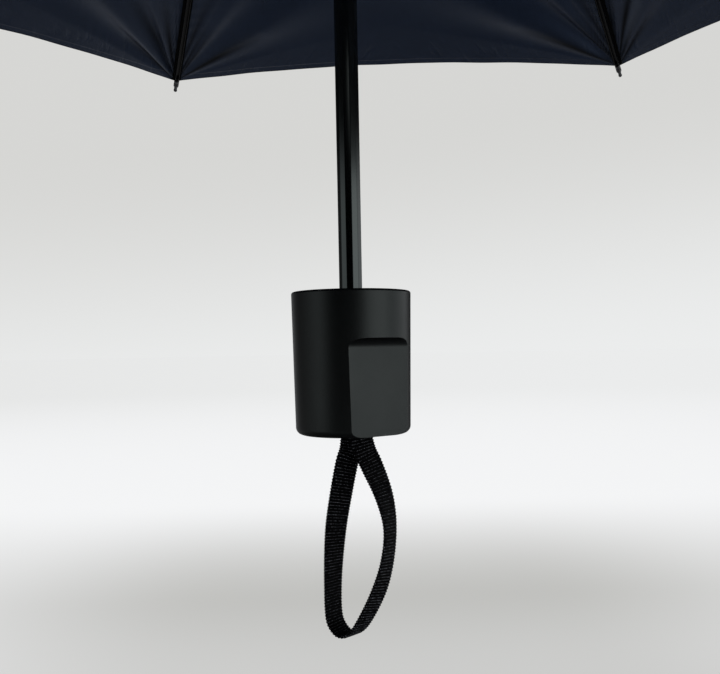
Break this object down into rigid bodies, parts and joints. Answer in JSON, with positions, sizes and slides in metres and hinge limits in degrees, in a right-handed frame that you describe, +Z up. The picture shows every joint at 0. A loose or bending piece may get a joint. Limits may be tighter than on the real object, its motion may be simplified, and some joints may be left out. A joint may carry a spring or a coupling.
{
  "type": "folding umbrella",
  "caption": "Compact folding umbrella, opened, with telescoping shaft, folding ribs, dark fabric canopy, short round handle with one flat side, and a webbing wrist loop.",
  "frame": {"origin": "middle of the handle, on the shaft's axis, where a hand holds it", "axes": "+Z up along the shaft towards the canopy; -Y towards the picture's camera"},
  "size_m": [0.9578, 0.9578, 0.5089],
  "materials": {
    "matte_plastic": "fine matte black moulded plastic",
    "satin_tube": "satin black painted tube",
    "rib_steel": "dark coated steel channel",
    "bright_steel": "bright drawn wire",
    "tip_plastic": "dark grey moulded plastic",
    "webbing": "black ribbed webbing",
    "canopy_fabric": "very dark navy woven polyester"
  },
  "bodies": {
    "handle": {"handle_shell": "matte_plastic", "base_plug": "matte_plastic", "strap_pin": "bright_steel", "lower_tube": "satin_tube"},
    "strap": {"wrist_strap": "webbing"},
    "middle_shaft": {"middle_tube": "satin_tube", "middle_tube_collar": "satin_tube"},
    "upper_shaft": {"upper_tube": "satin_tube", "upper_tube_collar": "satin_tube", "top_hub": "matte_plastic", "hub_hinge_wire": "bright_steel", "canopy": "canopy_fabric", "closing_band": "canopy_fabric", "cap_washer": "canopy_fabric", "top_cap": "matte_plastic"},
    "runner": {"runner": "matte_plastic", "runner_hinge_wire": "bright_steel"},
    "runner_button": {"runner_button": "matte_plastic"},
    "inner_rib_1": {"inner_rib_1": "rib_steel"},
    "stretcher_1": {"stretcher_1": "rib_steel"},
    "middle_rib_1": {"middle_rib_1": "rib_steel"},
    "outer_rib_1": {"outer_rib_1": "rib_steel", "rib_tip_1": "tip_plastic"},
    "inner_rib_2": {"inner_rib_2": "rib_steel"},
    "stretcher_2": {"stretcher_2": "rib_steel"},
    "middle_rib_2": {"middle_rib_2": "rib_steel"},
    "outer_rib_2": {"outer_rib_2": "rib_steel", "rib_tip_2": "tip_plastic"},
    "inner_rib_3": {"inner_rib_3": "rib_steel"},
    "stretcher_3": {"stretcher_3": "rib_steel"},
    "middle_rib_3": {"middle_rib_3": "rib_steel"},
    "outer_rib_3": {"outer_rib_3": "rib_steel", "rib_tip_3": "tip_plastic"},
    "inner_rib_4": {"inner_rib_4": "rib_steel"},
    "stretcher_4": {"stretcher_4": "rib_steel"},
    "middle_rib_4": {"middle_rib_4": "rib_steel"},
    "outer_rib_4": {"outer_rib_4": "rib_steel", "rib_tip_4": "tip_plastic"},
    "inner_rib_5": {"inner_rib_5": "rib_steel"},
    "stretcher_5": {"stretcher_5": "rib_steel"},
    "middle_rib_5": {"middle_rib_5": "rib_steel"},
    "outer_rib_5": {"outer_rib_5": "rib_steel", "rib_tip_5": "tip_plastic"},
    "inner_rib_6": {"inner_rib_6": "rib_steel"},
    "stretcher_6": {"stretcher_6": "rib_steel"},
    "middle_rib_6": {"middle_rib_6": "rib_steel"},
    "outer_rib_6": {"outer_rib_6": "rib_steel", "rib_tip_6": "tip_plastic"},
    "inner_rib_7": {"inner_rib_7": "rib_steel"},
    "stretcher_7": {"stretcher_7": "rib_steel"},
    "middle_rib_7": {"middle_rib_7": "rib_steel"},
    "outer_rib_7": {"outer_rib_7": "rib_steel", "rib_tip_7": "tip_plastic"},
    "inner_rib_8": {"inner_rib_8": "rib_steel"},
    "stretcher_8": {"stretcher_8": "rib_steel"},
    "middle_rib_8": {"middle_rib_8": "rib_steel"},
    "outer_rib_8": {"outer_rib_8": "rib_steel", "rib_tip_8": "tip_plastic"}
  },
  "joints": [
    {"name": "strap_swing", "type": "hinge", "parent": "handle", "child": "strap", "pos_m": [0, 0, -0.01975], "axis": [1, 0, 0], "range_deg": [-30, 30]},
    {"name": "middle_tube_slide", "type": "slide", "parent": "handle", "child": "middle_shaft", "axis": [0, 0, -1], "range_m": [0, 0.1047]},
    {"name": "upper_tube_slide", "type": "slide", "parent": "middle_shaft", "child": "upper_shaft", "axis": [0, 0, -1], "range_m": [0, 0.1007]},
    {"name": "runner_slide", "type": "slide", "parent": "upper_shaft", "child": "runner", "axis": [0, 0, -1], "range_m": [0, 0.06958], "deforming": ["canopy", "closing_band"]},
    {"name": "runner_button_press", "type": "slide", "parent": "runner", "child": "runner_button", "axis": [-0.996, 0.0889, 0], "range_m": [0, 0.0012], "stiffness_N_per_m": 400},
    {"name": "inner_rib_hinge_1", "type": "hinge", "parent": "upper_shaft", "child": "inner_rib_1", "pos_m": [0.00463, 0.00886, 0.39225], "axis": [-0.8862, 0.4633, 0], "range_deg": [0, 68.31]},
    {"name": "stretcher_hinge_1", "type": "hinge", "parent": "runner", "child": "stretcher_1", "pos_m": [0.00207, 0.00978, 0.32727], "axis": [-0.8862, 0.4633, 0], "range_deg": [-46.19, 0]},
    {"name": "middle_rib_hinge_1", "type": "hinge", "parent": "inner_rib_1", "child": "middle_rib_1", "pos_m": [0.08075, 0.15447, 0.34484], "axis": [-0.8862, 0.4633, 0], "range_deg": [-177.62, 0]},
    {"name": "outer_rib_hinge_1", "type": "hinge", "parent": "middle_rib_1", "child": "outer_rib_1", "pos_m": [0.15578, 0.29798, 0.28108], "axis": [-0.8862, 0.4633, 0], "range_deg": [0, 176.57]},
    {"name": "inner_rib_hinge_2", "type": "hinge", "parent": "upper_shaft", "child": "inner_rib_2", "pos_m": [-0.00299, 0.00954, 0.39225], "axis": [-0.9542, -0.299, 0], "range_deg": [0, 68.31]},
    {"name": "stretcher_hinge_2", "type": "hinge", "parent": "runner", "child": "stretcher_2", "pos_m": [-0.00546, 0.00838, 0.32727], "axis": [-0.9542, -0.299, 0], "range_deg": [-46.19, 0]},
    {"name": "middle_rib_hinge_2", "type": "hinge", "parent": "inner_rib_2", "child": "middle_rib_2", "pos_m": [-0.05212, 0.16633, 0.34484], "axis": [-0.9542, -0.299, 0], "range_deg": [-177.62, 0]},
    {"name": "outer_rib_hinge_2", "type": "hinge", "parent": "middle_rib_2", "child": "outer_rib_2", "pos_m": [-0.10055, 0.32086, 0.28108], "axis": [-0.9542, -0.299, 0], "range_deg": [0, 176.57]},
    {"name": "inner_rib_hinge_3", "type": "hinge", "parent": "upper_shaft", "child": "inner_rib_3", "pos_m": [-0.00886, 0.00463, 0.39225], "axis": [-0.4633, -0.8862, 0], "range_deg": [0, 68.31]},
    {"name": "stretcher_hinge_3", "type": "hinge", "parent": "runner", "child": "stretcher_3", "pos_m": [-0.00978, 0.00207, 0.32727], "axis": [-0.4633, -0.8862, 0], "range_deg": [-46.19, 0]},
    {"name": "middle_rib_hinge_3", "type": "hinge", "parent": "inner_rib_3", "child": "middle_rib_3", "pos_m": [-0.15447, 0.08075, 0.34484], "axis": [-0.4633, -0.8862, 0], "range_deg": [-177.62, 0]},
    {"name": "outer_rib_hinge_3", "type": "hinge", "parent": "middle_rib_3", "child": "outer_rib_3", "pos_m": [-0.29798, 0.15578, 0.28108], "axis": [-0.4633, -0.8862, 0], "range_deg": [0, 176.57]},
    {"name": "inner_rib_hinge_4", "type": "hinge", "parent": "upper_shaft", "child": "inner_rib_4", "pos_m": [-0.00954, -0.00299, 0.39225], "axis": [0.299, -0.9542, 0], "range_deg": [0, 68.31]},
    {"name": "stretcher_hinge_4", "type": "hinge", "parent": "runner", "child": "stretcher_4", "pos_m": [-0.00838, -0.00546, 0.32727], "axis": [0.299, -0.9542, 0], "range_deg": [-46.19, 0]},
    {"name": "middle_rib_hinge_4", "type": "hinge", "parent": "inner_rib_4", "child": "middle_rib_4", "pos_m": [-0.16633, -0.05212, 0.34484], "axis": [0.299, -0.9542, 0], "range_deg": [-177.62, 0]},
    {"name": "outer_rib_hinge_4", "type": "hinge", "parent": "middle_rib_4", "child": "outer_rib_4", "pos_m": [-0.32086, -0.10055, 0.28108], "axis": [0.299, -0.9542, 0], "range_deg": [0, 176.57]},
    {"name": "inner_rib_hinge_5", "type": "hinge", "parent": "upper_shaft", "child": "inner_rib_5", "pos_m": [-0.00463, -0.00886, 0.39225], "axis": [0.8862, -0.4633, 0], "range_deg": [0, 68.31]},
    {"name": "stretcher_hinge_5", "type": "hinge", "parent": "runner", "child": "stretcher_5", "pos_m": [-0.00207, -0.00978, 0.32727], "axis": [0.8862, -0.4633, 0], "range_deg": [-46.19, 0]},
    {"name": "middle_rib_hinge_5", "type": "hinge", "parent": "inner_rib_5", "child": "middle_rib_5", "pos_m": [-0.08075, -0.15447, 0.34484], "axis": [0.8862, -0.4633, 0], "range_deg": [-177.62, 0]},
    {"name": "outer_rib_hinge_5", "type": "hinge", "parent": "middle_rib_5", "child": "outer_rib_5", "pos_m": [-0.15578, -0.29798, 0.28108], "axis": [0.8862, -0.4633, 0], "range_deg": [0, 176.57]},
    {"name": "inner_rib_hinge_6", "type": "hinge", "parent": "upper_shaft", "child": "inner_rib_6", "pos_m": [0.00299, -0.00954, 0.39225], "axis": [0.9542, 0.299, 0], "range_deg": [0, 68.31]},
    {"name": "stretcher_hinge_6", "type": "hinge", "parent": "runner", "child": "stretcher_6", "pos_m": [0.00546, -0.00838, 0.32727], "axis": [0.9542, 0.299, 0], "range_deg": [-46.19, 0]},
    {"name": "middle_rib_hinge_6", "type": "hinge", "parent": "inner_rib_6", "child": "middle_rib_6", "pos_m": [0.05212, -0.16633, 0.34484], "axis": [0.9542, 0.299, 0], "range_deg": [-177.62, 0]},
    {"name": "outer_rib_hinge_6", "type": "hinge", "parent": "middle_rib_6", "child": "outer_rib_6", "pos_m": [0.10055, -0.32086, 0.28108], "axis": [0.9542, 0.299, 0], "range_deg": [0, 176.57]},
    {"name": "inner_rib_hinge_7", "type": "hinge", "parent": "upper_shaft", "child": "inner_rib_7", "pos_m": [0.00886, -0.00463, 0.39225], "axis": [0.4633, 0.8862, 0], "range_deg": [0, 68.31]},
    {"name": "stretcher_hinge_7", "type": "hinge", "parent": "runner", "child": "stretcher_7", "pos_m": [0.00978, -0.00207, 0.32727], "axis": [0.4633, 0.8862, 0], "range_deg": [-46.19, 0]},
    {"name": "middle_rib_hinge_7", "type": "hinge", "parent": "inner_rib_7", "child": "middle_rib_7", "pos_m": [0.15447, -0.08075, 0.34484], "axis": [0.4633, 0.8862, 0], "range_deg": [-177.62, 0]},
    {"name": "outer_rib_hinge_7", "type": "hinge", "parent": "middle_rib_7", "child": "outer_rib_7", "pos_m": [0.29798, -0.15578, 0.28108], "axis": [0.4633, 0.8862, 0], "range_deg": [0, 176.57]},
    {"name": "inner_rib_hinge_8", "type": "hinge", "parent": "upper_shaft", "child": "inner_rib_8", "pos_m": [0.00954, 0.00299, 0.39225], "axis": [-0.299, 0.9542, 0], "range_deg": [0, 68.31]},
    {"name": "stretcher_hinge_8", "type": "hinge", "parent": "runner", "child": "stretcher_8", "pos_m": [0.00838, 0.00546, 0.32727], "axis": [-0.299, 0.9542, 0], "range_deg": [-46.19, 0]},
    {"name": "middle_rib_hinge_8", "type": "hinge", "parent": "inner_rib_8", "child": "middle_rib_8", "pos_m": [0.16633, 0.05212, 0.34484], "axis": [-0.299, 0.9542, 0], "range_deg": [-177.62, 0]},
    {"name": "outer_rib_hinge_8", "type": "hinge", "parent": "middle_rib_8", "child": "outer_rib_8", "pos_m": [0.32086, 0.10055, 0.28108], "axis": [-0.299, 0.9542, 0], "range_deg": [0, 176.57]}
  ],
  "couplings": [
    {"joint": "inner_rib_hinge_1", "follows": "runner_slide", "rad_per_m": 17.132},
    {"joint": "stretcher_hinge_1", "follows": "runner_slide", "rad_per_m": -11.584},
    {"joint": "middle_rib_hinge_1", "follows": "runner_slide", "rad_per_m": -44.55},
    {"joint": "outer_rib_hinge_1", "follows": "runner_slide", "rad_per_m": 44.288},
    {"joint": "inner_rib_hinge_2", "follows": "runner_slide", "rad_per_m": 17.132},
    {"joint": "stretcher_hinge_2", "follows": "runner_slide", "rad_per_m": -11.584},
    {"joint": "middle_rib_hinge_2", "follows": "runner_slide", "rad_per_m": -44.55},
    {"joint": "outer_rib_hinge_2", "follows": "runner_slide", "rad_per_m": 44.288},
    {"joint": "inner_rib_hinge_3", "follows": "runner_slide", "rad_per_m": 17.132},
    {"joint": "stretcher_hinge_3", "follows": "runner_slide", "rad_per_m": -11.584},
    {"joint": "middle_rib_hinge_3", "follows": "runner_slide", "rad_per_m": -44.55},
    {"joint": "outer_rib_hinge_3", "follows": "runner_slide", "rad_per_m": 44.288},
    {"joint": "inner_rib_hinge_4", "follows": "runner_slide", "rad_per_m": 17.132},
    {"joint": "stretcher_hinge_4", "follows": "runner_slide", "rad_per_m": -11.584},
    {"joint": "middle_rib_hinge_4", "follows": "runner_slide", "rad_per_m": -44.55},
    {"joint": "outer_rib_hinge_4", "follows": "runner_slide", "rad_per_m": 44.288},
    {"joint": "inner_rib_hinge_5", "follows": "runner_slide", "rad_per_m": 17.132},
    {"joint": "stretcher_hinge_5", "follows": "runner_slide", "rad_per_m": -11.584},
    {"joint": "middle_rib_hinge_5", "follows": "runner_slide", "rad_per_m": -44.55},
    {"joint": "outer_rib_hinge_5", "follows": "runner_slide", "rad_per_m": 44.288},
    {"joint": "inner_rib_hinge_6", "follows": "runner_slide", "rad_per_m": 17.132},
    {"joint": "stretcher_hinge_6", "follows": "runner_slide", "rad_per_m": -11.584},
    {"joint": "middle_rib_hinge_6", "follows": "runner_slide", "rad_per_m": -44.55},
    {"joint": "outer_rib_hinge_6", "follows": "runner_slide", "rad_per_m": 44.288},
    {"joint": "inner_rib_hinge_7", "follows": "runner_slide", "rad_per_m": 17.132},
    {"joint": "stretcher_hinge_7", "follows": "runner_slide", "rad_per_m": -11.584},
    {"joint": "middle_rib_hinge_7", "follows": "runner_slide", "rad_per_m": -44.55},
    {"joint": "outer_rib_hinge_7", "follows": "runner_slide", "rad_per_m": 44.288},
    {"joint": "inner_rib_hinge_8", "follows": "runner_slide", "rad_per_m": 17.132},
    {"joint": "stretcher_hinge_8", "follows": "runner_slide", "rad_per_m": -11.584},
    {"joint": "middle_rib_hinge_8", "follows": "runner_slide", "rad_per_m": -44.55},
    {"joint": "outer_rib_hinge_8", "follows": "runner_slide", "rad_per_m": 44.288}
  ]
}
